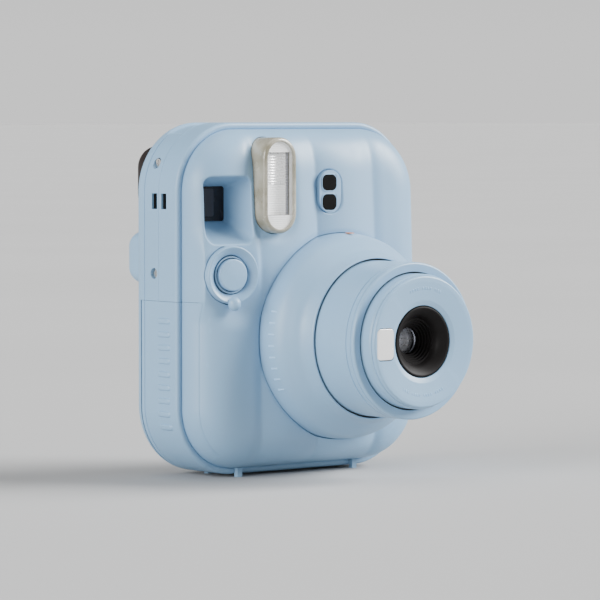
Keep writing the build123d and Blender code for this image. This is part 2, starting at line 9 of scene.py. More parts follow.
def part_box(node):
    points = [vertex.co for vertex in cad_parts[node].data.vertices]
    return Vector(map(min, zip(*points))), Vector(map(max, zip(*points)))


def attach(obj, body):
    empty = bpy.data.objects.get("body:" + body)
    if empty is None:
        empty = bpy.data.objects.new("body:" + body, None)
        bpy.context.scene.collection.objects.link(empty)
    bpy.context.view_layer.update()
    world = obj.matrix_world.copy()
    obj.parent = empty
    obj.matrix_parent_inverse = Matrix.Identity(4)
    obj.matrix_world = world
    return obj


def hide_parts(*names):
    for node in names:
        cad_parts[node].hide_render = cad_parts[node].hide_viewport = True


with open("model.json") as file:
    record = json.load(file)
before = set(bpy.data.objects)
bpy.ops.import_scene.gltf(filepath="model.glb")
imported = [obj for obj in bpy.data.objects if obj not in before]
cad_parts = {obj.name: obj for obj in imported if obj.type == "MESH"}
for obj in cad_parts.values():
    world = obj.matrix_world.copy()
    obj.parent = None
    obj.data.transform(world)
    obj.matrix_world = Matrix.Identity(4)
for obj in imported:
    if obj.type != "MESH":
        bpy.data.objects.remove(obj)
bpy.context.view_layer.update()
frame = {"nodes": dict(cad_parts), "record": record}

# Lengths below are millimetres in the camera's own layout: X = 0 is the body's middle,
# Y = 0 the front edge of its side band, Z = 0 its underside. place() turns them into
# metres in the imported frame, worked out from the CAD boxes.
WIDTH, HEIGHT, CORNER = 104.0, 122.0, 24.0
PARTING_Y, BAND_BACK_Y, BACK_Y = 10.4, 20.3, 24.8
RIM_STEP = 2.3
WALL = 2.0
MM = 0.001

rear_low, rear_high = (Vector(corner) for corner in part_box("rear_shell"))
ring_low, ring_high = (Vector(corner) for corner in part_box("lens_ring"))
ORIGIN = Vector((0.0, rear_high.y - BACK_Y * MM, rear_low.z))
LENS_X = (ring_low.x + ring_high.x) / 2 / MM
LENS_Z = ((ring_low.z + ring_high.z) / 2 - ORIGIN.z) / MM

# The pleated panel
PANEL_DEPTH = 14.2
PANEL_ROLL = 15.7
PLEAT = 26.0
RIDGE_DEPTH = 15.5
CREASE_DEPTH = 13.5
COWL_HOLE = 36.25
CREASE_X, CREASE_SPAN = 31, 5
DOME_DROP, DOME_FROM_Z = 0.27, 50

# The flash cover, its hole, and the line that the dip round it follows
FLASH_X, FLASH_Z, FLASH_CORNER = (-26.8, -12.3), (83.8, 117.0), 7.2
FLASH_HOLE = ((-27.0, -12.1), (83.6, 117.2), 7.4)
FLASH_LINE_X, FLASH_LINE_Z, FLASH_LINE_REACH = -19.55, (90.9, 110.0), 7.25
FLASH_DIP, FLASH_DIP_WIDTH = 0.9, 2.4

# The fine groove round the side band near its back edge
GROOVE_DEPTH = 0.22

# The battery door and its narrow lip on the panel
COVER_EDGE_X, COVER_TOP_Z = -39.5, 60.5
LIP = 3.9

# Openings: the film slot, the strap slots, the hinge knuckle and the latch
FILM_SLOT_X, FILM_SLOT_Y, FILM_SLOT_DEPTH = (-19.5, 38.5), (3.2, 7.8), 9.0
STRAP_SLOTS, STRAP_Z, STRAP_CORNER = ((5.85, 8.75), (11.15, 14.05)), (92.3, 97.7), 0.5
DOOR_GAP, HINGE_RELIEF = 0.4, 0.6
KNUCKLE_X, KNUCKLE_Y, KNUCKLE_Z = (43, 49.1), 19, (26.0, 96.0)
LATCH_X, LATCH_Z, LATCH_STEM_Z = (-48.2, -39.4), (65.5, 84.5), (71.7, 80.3)
SIDE_SCREWS, SCREW_HOLE = (("upper", 14, 108), ("lower", 13, 70)), 1.9

# The shutter button's leaning axis
BUTTON = Vector((-38.2, -13.2, 70.0))
LEAN = math.radians(8)
MOUND_RADIUS = 10.9
MOUND_BLEND = 9.0
MOUND_SINK = 1.1
MOUND_EDGE_X = -25.2
LEVER_RADIUS = 10.0


def place(points):
    """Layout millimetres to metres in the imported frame, for one point or an array."""
    return np.asarray(points, dtype=float) * MM + np.array(ORIGIN)


# ---- Materials


# The part of 0 to 1 that a noise texture mostly fills
NOISE_SPAN = (0.3, 0.7)


def remap(tree, value, source, target):
    """Map a value from one range to another."""
    node = tree.nodes.new("ShaderNodeMapRange")
    for name, limit in zip(("From Min", "From Max", "To Min", "To Max"), (*source, *target)):
        node.inputs[name].default_value = limit
    tree.links.new(value, node.inputs["Value"])
    return node.outputs["Result"]


def mixed(tree, share, first, second):
    """Blend a colour output towards a fixed colour."""
    mix = tree.nodes.new("ShaderNodeMixRGB")
    mix.inputs["Color2"].default_value = (*second, 1)
    tree.links.new(share, mix.inputs["Fac"])
    tree.links.new(first, mix.inputs["Color1"])
    return mix.outputs["Color"]


class Finish:
    """A node material built step by step."""

    def __init__(self, name):
        self.material = bpy.data.materials.new(name)
        self.material.use_nodes = True
        self.tree = self.material.node_tree
        self.shader = self.tree.nodes["Principled BSDF"]
        self.coordinates = self.tree.nodes.new("ShaderNodeTexCoord").outputs["Object"]

    def node(self, kind, **values):
        made = self.tree.nodes.new(kind)
        for key, value in values.items():
            made.inputs[key].default_value = value
        return made

    def link(self, output, target):
        self.tree.links.new(output, target)

    def feed(self, name, output):
        """Link an output to one of the shader's inputs."""
        self.link(output, self.shader.inputs[name])

    def noise(self, scale, detail=3.0, rough=0.5):
        texture = self.node("ShaderNodeTexNoise", Scale=scale, Detail=detail, Roughness=rough)
        self.link(self.coordinates, texture.inputs["Vector"])
        return texture.outputs["Fac"]

    def spread(self, value, low, high):
        """Map a noise value to a range."""
        return remap(self.tree, value, NOISE_SPAN, (low, high))

    def two_tone(self, value, first, second):
        """Blend two colours by a value."""
        ramp = self.node("ShaderNodeValToRGB")
        for stop, position, colour in zip(ramp.color_ramp.elements, NOISE_SPAN, (first, second)):
            stop.position = position
            stop.color = (*colour, 1)
        self.link(value, ramp.inputs["Fac"])
        return ramp.outputs["Color"]

    def bump(self, value, distance, strength=1.0, after=None):
        made = self.node("ShaderNodeBump", Strength=strength, Distance=distance)
        self.link(value, made.inputs["Height"])
        if after:
            self.link(after, made.inputs["Normal"])
        return made.outputs["Normal"]

    def worn_edges(self, colour, paler):
        """Lighten the sharpest outer edges a little."""
        geometry = self.tree.nodes.new("ShaderNodeNewGeometry")
        edge = remap(self.tree, geometry.outputs["Pointiness"], (0.52, 0.62), (0.0, 0.6))
        return mixed(self.tree, edge, colour, paler)


def set_input(material, name, value):
    """Set one input of a material's shader."""
    material.node_tree.nodes["Principled BSDF"].inputs[name].default_value = value


def shade(colour, factor):
    """A colour made lighter or darker."""
    return tuple(min(1.0, channel * factor) for channel in colour)


def plastic(name, colour, rough=(0.38, 0.48), wear=1.08, coat=0.0, specular=0.5):
    """Moulded plastic: faint cloudiness, fine spark grain and slightly paler edges."""
    finish = Finish(name)
    cloud = finish.noise(28, 4)
    tint = finish.two_tone(cloud, shade(colour, 0.97), shade(colour, 1.03))
    finish.feed("Base Color", finish.worn_edges(tint, shade(colour, wear)))
    finish.feed("Roughness", finish.spread(finish.noise(160, 5), *rough))
    waves = finish.bump(finish.noise(60, 2), 0.00004, 0.35)
    finish.feed("Normal", finish.bump(finish.noise(2600, 2, 0.6), 0.00002, 0.5, waves))
    set_input(finish.material, "Coat Weight", coat)
    set_input(finish.material, "Coat Roughness", 0.2)
    set_input(finish.material, "Specular IOR Level", specular)
    return finish.material


def metal(name, colour, rough=(0.22, 0.36), streak=(1, 1, 1), scale=900):
    """Bare metal with fine streaks and uneven polish."""
    finish = Finish(name)
    mapping = finish.node("ShaderNodeMapping")
    mapping.inputs["Scale"].default_value = streak
    finish.link(finish.coordinates, mapping.inputs["Vector"])
    texture = finish.node("ShaderNodeTexNoise", Scale=scale, Detail=4.0)
    finish.link(mapping.outputs["Vector"], texture.inputs["Vector"])
    tint = finish.two_tone(finish.noise(70), shade(colour, 0.9), shade(colour, 1.08))
    finish.feed("Base Color", tint)
    finish.feed("Roughness", finish.spread(texture.outputs["Fac"], *rough))
    finish.feed("Normal", finish.bump(texture.outputs["Fac"], 0.00001, 0.4))
    set_input(finish.material, "Metallic", 1.0)
    return finish.material


def clear(name, colour, rough=(0.02, 0.08), transmission=1.0, index=1.49):
    """Clear or tinted plastic and glass with faint moulding waves and haze."""
    finish = Finish(name)
    tint = finish.two_tone(finish.noise(45), shade(colour, 0.97), shade(colour, 1.02))
    finish.feed("Base Color", tint)
    finish.feed("Roughness", finish.spread(finish.noise(240, 4), *rough))
    finish.feed("Normal", finish.bump(finish.noise(90, 2), 0.00001, 0.5))
    set_input(finish.material, "Transmission Weight", transmission)
    set_input(finish.material, "IOR", index)
    return finish.material


def hazy(name, first, second):
    """Cloudy tinted plastic with a glossy skin."""
    finish = Finish(name)
    cloud = finish.noise(110, 2)
    finish.feed("Base Color", finish.two_tone(cloud, first, second))
    finish.feed("Roughness", finish.spread(finish.noise(320, 3), 0.16, 0.3))
    finish.feed("Normal", finish.bump(finish.noise(140, 2), 0.00004, 0.5))
    set_input(finish.material, "Transmission Weight", 0.12)
    set_input(finish.material, "Coat Weight", 0.5)
    return finish.material


def painted_shade_inside(source, radius):
    """A copy of a finish with painted shade: it turns black closer to the lens axis than a radius, standing in
    for the shade on inner faces and lips.
    """
    material = source.copy()
    material.name = "%s_painted_shade_within_%d" % (source.name, round(radius * 10))
    tree = material.node_tree
    base = tree.nodes["Principled BSDF"].inputs["Base Color"]
    value = tree.nodes.new("ShaderNodeTexCoord").outputs["Object"]
    lens_axis = (LENS_X * MM, 0.0, ORIGIN.z + LENS_Z * MM)
    steps = (("VectorMath", "SUBTRACT", lens_axis), ("VectorMath", "MULTIPLY", (1.0, 0.0, 1.0)),
             ("VectorMath", "LENGTH", None), ("Math", "LESS_THAN", radius * MM))
    for kind, operation, operand in steps:
        step = tree.nodes.new("ShaderNode" + kind)
        step.operation = operation
        if operand is not None:
            step.inputs[1].default_value = operand
        tree.links.new(value, step.inputs[0])
        value = step.outputs["Vector" if operation in ("SUBTRACT", "MULTIPLY") else "Value"]
    # painted shade: the colour is mixed to near black inside the radius
    tree.links.new(mixed(tree, value, base.links[0].from_socket, (0.012, 0.012, 0.013)), base)
    return material


def foam(name, colour):
    """Flocked foam: deep matt pile."""
    finish = Finish(name)
    pile = finish.noise(3800, 4, 0.7)
    finish.feed("Base Color", finish.two_tone(pile, shade(colour, 0.6), shade(colour, 1.6)))
    finish.feed("Roughness", finish.spread(pile, 0.85, 1.0))
    finish.feed("Normal", finish.bump(pile, 0.0002))
    set_input(finish.material, "Sheen Weight", 0.3)
    return finish.material


def board_finish(name):
    """Green solder mask over copper tracks."""
    finish = Finish(name)
    cells = finish.node("ShaderNodeTexVoronoi", Scale=420)
    cells.distance = "MANHATTAN"
    finish.link(finish.coordinates, cells.inputs["Vector"])
    colour = finish.two_tone(cells.outputs["Distance"], (0.015, 0.12, 0.05), (0.05, 0.24, 0.09))
    finish.feed("Base Color", colour)
    finish.feed("Roughness", finish.spread(finish.noise(200), 0.25, 0.4))
    finish.feed("Normal", finish.bump(cells.outputs["Distance"], 0.00005))
    return finish.material


BLUE = (0.245, 0.415, 0.60)
blue = plastic("pastel_plastic", BLUE)
blue_soft = plastic("pastel_plastic_smooth", shade(BLUE, 1.02), rough=(0.30, 0.38))
# painted highlight: raised marks get a paler blue standing in for the light their ridges catch
mark_painted_highlight = plastic("raised_mark", shade(BLUE, 1.3))
dark = plastic("dark_trim_plastic", (0.021, 0.016, 0.015), rough=(0.34, 0.5), wear=1.6, specular=0.2)
# also used for the strap pockets, where the black is painted shade
black = plastic("black_inner_plastic", (0.018, 0.018, 0.02), rough=(0.5, 0.7), wear=1.5)
gloss_black = plastic("bezel_gloss_black", (0.010, 0.009, 0.009), rough=(0.44, 0.54), wear=1.5, specular=0.1)
smoke_pale = plastic("smoked_frame", (0.045, 0.046, 0.055), rough=(0.3, 0.4), wear=1.2, specular=0.2)
smoke = plastic("smoked_window", (0.014, 0.014, 0.018), rough=(0.2, 0.3), wear=1.2, specular=0.25)
sensor_black = plastic("sensor_window_black", (0.004, 0.004, 0.004), rough=(0.2, 0.3), wear=1.1, specular=0.12)
acetal = plastic("acetal_gear", (0.78, 0.77, 0.72), rough=(0.35, 0.5))
orange = plastic("orange_paint", (0.72, 0.24, 0.07), rough=(0.4, 0.5))
rubber = plastic("soft_foot", shade(BLUE, 0.9), rough=(0.6, 0.75))
wrap = plastic("cell_sleeve", (0.1, 0.11, 0.14), rough=(0.22, 0.32), coat=0.3)
cream = plastic("flash_white", (0.96, 0.96, 0.95), rough=(0.25, 0.4), wear=1.02)
channel = plastic("flash_channel_grey", (0.22, 0.22, 0.25), rough=(0.2, 0.35), wear=1.2)
steel = metal("plated_steel", (0.62, 0.63, 0.65), streak=(1, 14, 1))
screw_steel = metal("screw_steel", (0.72, 0.72, 0.71), rough=(0.16, 0.3))
mirror = metal("selfie_mirror_silver", (0.98, 0.97, 0.95), rough=(0.2, 0.28), scale=200)
set_input(mirror, "Metallic", 0.45)
reflector = metal("flash_reflector_silver", (0.97, 0.97, 0.96), rough=(0.24, 0.34))
set_input(reflector, "Metallic", 0.5)
glass = clear("coated_glass", (0.86, 0.88, 0.95), rough=(0.0, 0.02), index=1.52)
window_clear = clear("clear_window_plastic", (0.93, 0.94, 0.93))
frosted = hazy("flash_rim_plastic", (0.50, 0.48, 0.40), (0.27, 0.25, 0.18))
pane = clear("flash_pane_plastic", (0.93, 0.94, 0.93), transmission=0.0)
set_input(pane, "Alpha", 0.1)
flocking = foam("black_flocking", (0.03, 0.03, 0.03))
board = board_finish("circuit_board")

SLOT_FINISH = {
    "pastel_shell": blue, "dark_trim": dark, "black_inner": black, "bezel_black": gloss_black,
    "optic_glass": glass, "clear_window": window_clear, "smoke_window": smoke,
    "frosted_cover": frosted, "bright_reflector": reflector, "mirror_face": mirror,
    "steel": steel, "white_gear": acetal, "foam": flocking, "board_green": board,
    "cell_wrap": wrap, "orange_mark": orange, "rubber_feet": rubber,
}


def dress_cad_nodes():
    """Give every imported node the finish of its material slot."""
    slots = {row["node"]: row["material_slot"] for row in frame["record"]["subparts"]}
    for name, piece in frame["nodes"].items():
        piece.data.materials.clear()
        piece.data.materials.append(SLOT_FINISH[slots[name]])


# ---- Mesh tools


def put(name, data):
    """A new object in the scene."""
    piece = bpy.data.objects.new(name, data)
    bpy.context.collection.objects.link(piece)
    return piece


def add_mesh(name, points, faces, material, body, replaces=(), smooth=True):
    """A mesh object from layout points, riding on a body."""
    mesh = bpy.data.meshes.new(name)
    mesh.from_pydata([tuple(point) for point in place(points)], [], faces)
    mesh.validate()
    piece = put(name, mesh)
    worker = bmesh.new()
    worker.from_mesh(mesh)
    bmesh.ops.recalc_face_normals(worker, faces=worker.faces)
    worker.to_mesh(mesh)
    worker.free()
    mesh.materials.append(material)
    if smooth:
        mesh.shade_smooth()
    if body:
        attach(piece, body)
    if replaces:
        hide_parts(*replaces)
    return piece


def ring_faces(rings, count, loop_rings=False, wrap_points=True):
    """Quads between rings of equal size."""
    faces = []
    span = count if wrap_points else count - 1
    steps = rings if loop_rings else rings - 1
    for i in range(steps):
        low, high = i * count, ((i + 1) % rings) * count
        for j in range(span):
            k = (j + 1) % count
            faces.append((low + j, low + k, high + k, high + j))
    return faces


def quarter(steps):
    """Angles from 0 to a quarter turn."""
    return [math.radians(90 * i / steps) for i in range(steps + 1)]


def capped(rings, count):
    """Faces of a tube of rings with both ends filled."""
    last = (rings - 1) * count
    return ring_faces(rings, count) + [tuple(range(count)), tuple(range(last, last + count))]


def arc_corner(before, corner, after, radius):
    """Points that round one corner of an outline."""
    steps = 6
    before, corner, after = (np.array(point, dtype=float) for point in (before, corner, after))
    arrive = (before - corner) / np.linalg.norm(before - corner)
    leave = (after - corner) / np.linalg.norm(after - corner)
    half = math.acos(max(-1.0, min(1.0, float(arrive @ leave)))) / 2
    reach = radius / math.tan(half)
    centre = corner + (arrive + leave) / np.linalg.norm(arrive + leave) * radius / math.sin(half)
    start, end = corner + arrive * reach - centre, corner + leave * reach - centre
    points = []
    for i in range(steps + 1):
        mixed = start * (1 - i / steps) + end * (i / steps)
        points.append(tuple(centre + mixed / np.linalg.norm(mixed) * radius))
    return points


def rounded_profile(points):
    """A closed profile from (radius, height, corner rounding) points."""
    made = []
    for i, (r, y, rounding) in enumerate(points):
        if rounding:
            before, after = points[i - 1][:2], points[(i + 1) % len(points)][:2]
            made += arc_corner(before, (r, y), after, rounding)
        else:
            made.append((r, y))
    return made


def catmull(points, steps=6):
    """A smooth curve through a few points."""
    points = [np.array(point, dtype=float) for point in points]
    padded = [2 * points[0] - points[1]] + points + [2 * points[-1] - points[-2]]
    made = []
    for i in range(len(points) - 1):
        p0, p1, p2, p3 = padded[i:i + 4]
        for step in range(steps):
            t = step / steps
            made.append(tuple(0.5 * (
                2 * p1 + (p2 - p0) * t + (2 * p0 - 5 * p1 + 4 * p2 - p3) * t * t
                + (3 * p1 - p0 - 3 * p2 + p3) * t ** 3)))
    made.append(tuple(points[-1]))
    return made


def lathe(name, profile, material, body, replaces=(), count=160, frame_at=None):
    """A closed ring turned about the lens axis, or about another axis given as a matrix."""
    angles = np.linspace(0, 2 * math.pi, count, endpoint=False)
    points = np.concatenate([
        np.stack([r * np.cos(angles), np.full(count, y), r * np.sin(angles)], axis=1) for r, y in profile])
    if frame_at is None:
        points = points + np.array([LENS_X, 0, LENS_Z])
    else:
        points = np.array([tuple(frame_at @ Vector(point)) for point in points])
    faces = ring_faces(len(profile), count, loop_rings=True)
    piece = add_mesh(name, points, faces, material, body, replaces)
    return soften(piece)


def soften(piece, angle=32):
    """Keep real corners crisp while round stretches shade smoothly."""
    piece.data.set_sharp_from_angle(angle=math.radians(angle))
    return piece


def rounded_rectangle(x, z, radius, per_corner=10):
    """Points round a rounded rectangle in X and Z."""
    points = []
    corners = [(x[1] - radius, z[1] - radius, 0), (x[0] + radius, z[1] - radius, 90),
               (x[0] + radius, z[0] + radius, 180), (x[1] - radius, z[0] + radius, 270)]
    for cx, cz, start in corners:
        for i in range(per_corner + 1):
            angle = math.radians(start + 90 * i / per_corner)
            points.append((cx + radius * math.cos(angle), cz + radius * math.sin(angle)))
    return points


def at(outline, y):
    """A flat outline's points at one depth."""
    return [(x, y, z) for x, z in outline]


def even(points, spacing):
    """The same closed outline with evenly spaced points."""
    points = np.array(points + [points[0]], dtype=float)
    steps = np.linalg.norm(np.diff(points, axis=0), axis=1)
    along = np.concatenate([[0], np.cumsum(steps)])
    wanted = np.linspace(0, along[-1], max(12, int(along[-1] / spacing)), endpoint=False)
    return np.stack([np.interp(wanted, along, points[:, k]) for k in (0, 1)], axis=1)


def outward(points):
    """Unit normals that point out of a closed outline drawn anticlockwise."""
    ahead = np.roll(points, -1, axis=0) - np.roll(points, 1, axis=0)
    ahead = ahead / np.linalg.norm(ahead, axis=1)[:, None]
    return np.stack([ahead[:, 1], -ahead[:, 0]], axis=1)


def skin(name, rings, material, body, replaces=(), angle=50, loop=False):
    """A surface through rings of equal size."""
    faces = ring_faces(len(rings), len(rings[0]), loop_rings=loop)
    soften(add_mesh(name, np.concatenate(rings), faces, material, body, replaces), angle)


def cutter(name, points, count):
    """A closed piece to cut with, from the points of its two ends."""
    return add_mesh(name, points, capped(2, count), black, None, smooth=False)


def prism(name, outline, y):
    """A cutter: an outline in X and Z between two depths."""
    return cutter(name, at(outline, y[0]) + at(outline, y[1]), len(outline))


def box_cutter(name, x, y, z):
    """A plain box cutter."""
    return prism(name, [(x[0], z[0]), (x[1], z[0]), (x[1], z[1]), (x[0], z[1])], y)


def cut(piece, cutters):
    """Subtract cutters from a closed piece, then drop them."""
    for cutter in cutters:
        modifier = piece.modifiers.new("cut", "BOOLEAN")
        modifier.operation = "DIFFERENCE"
        modifier.solver = "EXACT"
        modifier.object = cutter
    graph = bpy.context.evaluated_depsgraph_get()
    made = bpy.data.meshes.new_from_object(piece.evaluated_get(graph))
    piece.modifiers.clear()
    old = piece.data
    piece.data = made
    bpy.data.meshes.remove(old)
    for cutter in cutters:
        bpy.data.objects.remove(cutter)
    made.shade_smooth()
    return soften(piece)


def plate(name, outline, y, rounding, material, body, replaces=(), spacing=0.6):
    """A flat piece with a rounded front edge. y is (front, back)."""
    outline = even(outline, spacing)
    normals = outward(outline)
    direction = 1 if y[1] > y[0] else -1
    rings = [(0.0, y[1])]
    for angle in quarter(6):
        rings.append((rounding * (1 - math.cos(angle)), y[0] + direction * rounding * (1 - math.sin(angle))))
    points = []
    for inset, depth in rings:
        points += at(outline - normals * inset, depth)
    count = len(outline)
    inner = outline - normals * rounding
    middle = inner.mean(axis=0)
    for share in (0.66, 0.33):
        points += at(middle + (inner - middle) * share, y[0])
    total = len(rings) + 2
    points.append((middle[0], y[0], middle[1]))
    faces = ring_faces(total, count)
    last = (total - 1) * count
    faces += [(last + j, last + (j + 1) % count, total * count) for j in range(count)]
    faces.append(tuple(range(count)))
    return soften(add_mesh(name, points, faces, material, body, replaces), 40)


# ---- The pleated panel's surface


def inward(x, z):
    """How far a point lies inside the body's front outline."""
    qx = np.abs(x) - (WIDTH / 2 - CORNER)
    qz = np.abs(z - HEIGHT / 2) - (HEIGHT / 2 - CORNER)
    outside = np.hypot(np.maximum(qx, 0), np.maximum(qz, 0)) + np.minimum(np.maximum(qx, qz), 0)
    return CORNER - outside


def smooth_step(value):
    """0 to 1 with level ends."""
    value = np.clip(value, 0, 1)
    return value * value * (3 - 2 * value)


def pleat_depth(x):
    """The panel's depth across its four upright bands."""
    fold = np.clip((CREASE_X - np.abs(x)) / CREASE_SPAN, 0, None)
    outer = PANEL_DEPTH - (PANEL_DEPTH - CREASE_DEPTH) * fold ** 2
    inner = RIDGE_DEPTH - 2 * ((np.abs(x) - PLEAT / 2) / (PLEAT / 2)) ** 2
    blend = 0.12
    return blend * np.log(np.exp(outer / blend) + np.exp(inner / blend))


def flash_distance(x, z):
    """Distance from the flash cover's upright stadium outline."""
    return np.hypot(x - FLASH_LINE_X, z - np.clip(z, *FLASH_LINE_Z)) - FLASH_LINE_REACH


def panel_depth(x, z):
    """How far the front panel stands forward of the side band's front edge."""
    x, z = np.asarray(x, dtype=float), np.asarray(z, dtype=float)
    rim = np.clip(inward(x, z) - RIM_STEP, 0, PANEL_ROLL)
    roll = (1 - (1 - rim / PANEL_ROLL) ** 2.6) ** (1 / 2.2)
    dome = 1 - DOME_DROP * np.clip((z - DOME_FROM_Z) / (HEIGHT - DOME_FROM_Z), 0, 1) ** 1.8
    depth = roll * dome * pleat_depth(x)
    dip = np.clip(flash_distance(x, z), 0, None) / FLASH_DIP_WIDTH
    depth = depth - FLASH_DIP * np.exp(-dip ** 2)
    reach = np.hypot((x - BUTTON.x) / math.cos(LEAN), z - BUTTON.z)
    mound = -BUTTON.y + (-MOUND_SINK + (x - BUTTON.x) * math.sin(LEAN)) / math.cos(LEAN)
    share = 1 - smooth_step((reach - MOUND_RADIUS) / MOUND_BLEND)
    share = share * smooth_step((MOUND_EDGE_X - x) / 2.2) * smooth_step(rim / 2.0)
    return depth * (1 - share) + mound * share


def outline_radii(angles, inset):
    """How far the body's outline, drawn in by inset, is from the lens axis."""
    low, high = np.zeros_like(angles), np.full_like(angles, 120.0)
    for _ in range(40):
        middle = (low + high) / 2
        inside = inward(LENS_X + middle * np.cos(angles), LENS_Z + middle * np.sin(angles)) > inset
        low, high = np.where(inside, middle, low), np.where(inside, high, middle)
    return low


class ShellRings:
    """Rings round the lens axis that follow the body's outline."""

    def __init__(self, count):
        spread = np.linspace(0, 2 * math.pi, 4 * count, endpoint=False)
        radii = outline_radii(spread, 0)
        outline = np.stack([radii * np.cos(spread), radii * np.sin(spread)], axis=1)
        outline = even([tuple(point) for point in outline], 1.0)
        self.angles = np.arctan2(outline[:, 1], outline[:, 0])
        self.count = len(self.angles)
        self.points = []

    def around(self, radii):
        """The X and Z of a ring of points."""
        return LENS_X + radii * np.cos(self.angles), LENS_Z + radii * np.sin(self.angles)

    def add(self, radii, y):
        x, z = self.around(radii)
        self.points.append(np.stack([x, np.broadcast_to(y, radii.shape), z], axis=1))

    def outline(self, inset, y):
        self.add(outline_radii(self.angles, inset), y)

    def trace(self, *section):
        """Add a run of (inset, depth) rings."""
        for inset, y in section:
            self.outline(inset, y)

    def mesh(self, name, slot, replaces):
        faces = ring_faces(len(self.points), self.count, loop_rings=True)
        return add_mesh(name, np.concatenate(self.points), faces, blue, "camera_body", replaces)


def rim_bead():
    """The side band's rounded front edge and the bead inside it, as (inset, depth)."""
    turn = [(1.1 * (1 - math.cos(angle)), 1.1 * (1 - math.sin(angle))) for angle in quarter(6)]
    return [(0.0, 2.4), *turn, (1.6, 0.03), (2.05, 0.16), (RIM_STEP, 0.36)]


def cover_path(inset, grow=0.0):
    """Where the battery door runs: down the grip and round its lower corner, drawn in by inset."""
    radius = CORNER - inset
    centre = -WIDTH / 2 + CORNER
    end = math.acos((centre - COVER_EDGE_X - grow) / radius)
    top = COVER_TOP_Z + grow
    points = []
    for share in np.linspace(0, 1, 240):
        if share < 0.45:
            points.append((centre - radius, top - (top - CORNER) * share / 0.45))
        else:
            turn = (share - 0.45) / 0.55 * end
            points.append((centre - radius * math.cos(turn), CORNER - radius * math.sin(turn)))
    return points


def battery_zone(y, inset):
    """A cutter for the corner of the side band that the battery door takes."""
    edge = cover_path(inset + 0.1, 0.12)
    outline = [(-70.0, edge[0][1])] + edge + [(edge[-1][0], -8.0), (-70.0, -8.0)]
    return prism("zone", outline, y)


def front_casing():
    """The front casing: half the side band, the rim bead and the pleated panel."""
    shell = ShellRings(700)
    shell.trace((0.16, PARTING_Y - 0.05), (0.0, PARTING_Y - 0.25), (0.0, 8.0), (0.0, 5.0), *rim_bead())
    start = outline_radii(shell.angles, RIM_STEP)
    steps = 86
    for i in range(steps + 1):
        share = (i / steps) ** 2.1
        radii = start * (1 - share) + COWL_HOLE * share
        shell.add(radii, -panel_depth(*shell.around(radii)))
    radii = np.full_like(start, COWL_HOLE)
    hole = panel_depth(*shell.around(radii))
    shell.points[-1][:, 1] += 0.25
    shell.add(radii, np.minimum(-hole + WALL, 1.9))
    inner = outline_radii(shell.angles, RIM_STEP + WALL)
    for i in range(1, 19):
        share = 1 - (i / 18) ** 0.6
        radii = inner * (1 - share) + COWL_HOLE * share
        shell.add(radii, np.minimum(WALL, -panel_depth(*shell.around(radii)) + WALL))
    shell.trace((WALL, WALL), (WALL, PARTING_Y - 0.05))
    piece = shell.mesh("front_casing", "pastel_shell", ["front_shell"])
    cutters = [
        prism("funnel_hole", grown(FUNNEL_MOUTH, FUNNEL_LIP), (-30, 1.0)),
        prism("flash_hole", even(rounded_rectangle(*FLASH_HOLE), 0.6), (-30, 5)),
        prism("sensor_hole", grown(SENSOR_MOUTH, SENSOR_LIP), (-30, 5)),
        tilted_cutter(),
        box_cutter("film_slot", FILM_SLOT_X, FILM_SLOT_Y, (HEIGHT - FILM_SLOT_DEPTH, HEIGHT + 5)),
        strap_cutter(STRAP_SLOTS[0]),
        battery_zone((-20, BAND_BACK_Y + 0.3), LIP),
    ]
    cut(piece, cutters)


def strap_cutter(y):
    """One strap slot through the grip's side."""
    return prism("strap_slot", rounded_rectangle((-60, -45), STRAP_Z, STRAP_CORNER, 3), y)


def tilted_cutter():
    """The round hole for the shutter button, along its leaning axis."""
    angles = np.linspace(0, 2 * math.pi, 120, endpoint=False)
    points = []
    for height in (-12, 9):
        for angle in angles:
            points.append(BUTTON_FRAME @ Vector((
                (LEVER_RADIUS + 0.28) * math.cos(angle), -height, (LEVER_RADIUS + 0.28) * math.sin(angle))))
    return cutter("button_hole", points, len(angles))


BUTTON_FRAME = Matrix.Translation(BUTTON) @ Matrix.Rotation(-LEAN, 4, "Z")
FUNNEL_MOUTH = even(rounded_rectangle((-46.5, -28.6), (80.7, 103.5), 3.0), 0.5)
FUNNEL_THROAT = ((-44.1, -31.1), (88.1, 100.1), 1.0)
FUNNEL_LIP = 0.9
SENSOR_MOUTH = even(rounded_rectangle((0.5, 10.5), (90.4, 105.6), 4.9), 0.5)
SENSOR_LIP = 0.7


def grown(outline, amount):
    """An outline moved outwards."""
    return outline + outward(outline) * amount


def lip_rings(mouth, rounding):
    """Rings that roll from the panel's surface into an opening."""
    normals = outward(mouth)
    rings = []
    for angle in quarter(7):
        moved = mouth + normals * rounding * (1 - math.sin(angle))
        depth = panel_depth(moved[:, 0], moved[:, 1]) - rounding * (1 - math.cos(angle))
        rings.append(np.stack([moved[:, 0], -depth - 0.01, moved[:, 1]], axis=1))
    return rings


def viewfinder_pocket():
    """The flared pocket round the viewfinder window."""
    rings = lip_rings(FUNNEL_MOUTH, FUNNEL_LIP)
    mouth = rings[-1]
    throat = match_outline(rounded_rectangle(*FUNNEL_THROAT), mouth[:, [0, 2]])
    floor = np.insert(throat, 1, 0.35, axis=1)
    for share in (0.25, 0.5, 0.75, 0.92, 1.0):
        rings.append(mouth * (1 - share) + floor * share)
    rings.append(rings[-1] + np.array([0, 0.25, 0]))
    skin("viewfinder_pocket", rings, blue, "camera_body")


def match_outline(outline, other):
    """Points of an outline taken in step with another one's."""
    outline = even(outline, 0.05)
    centre = outline.mean(axis=0)
    about = np.arctan2(outline[:, 1] - centre[1], outline[:, 0] - centre[0])
    order = np.argsort(about)
    about, outline = about[order], outline[order]
    low, high = other.min(axis=0), other.max(axis=0)
    size = outline.max(axis=0) - outline.min(axis=0)
    scaled = (other - (high + low) / 2) / (high - low) * size
    wanted = np.arctan2(scaled[:, 1], scaled[:, 0])
    return np.stack([np.interp(wanted, about, outline[:, k], period=2 * math.pi) for k in (0, 1)], axis=1)


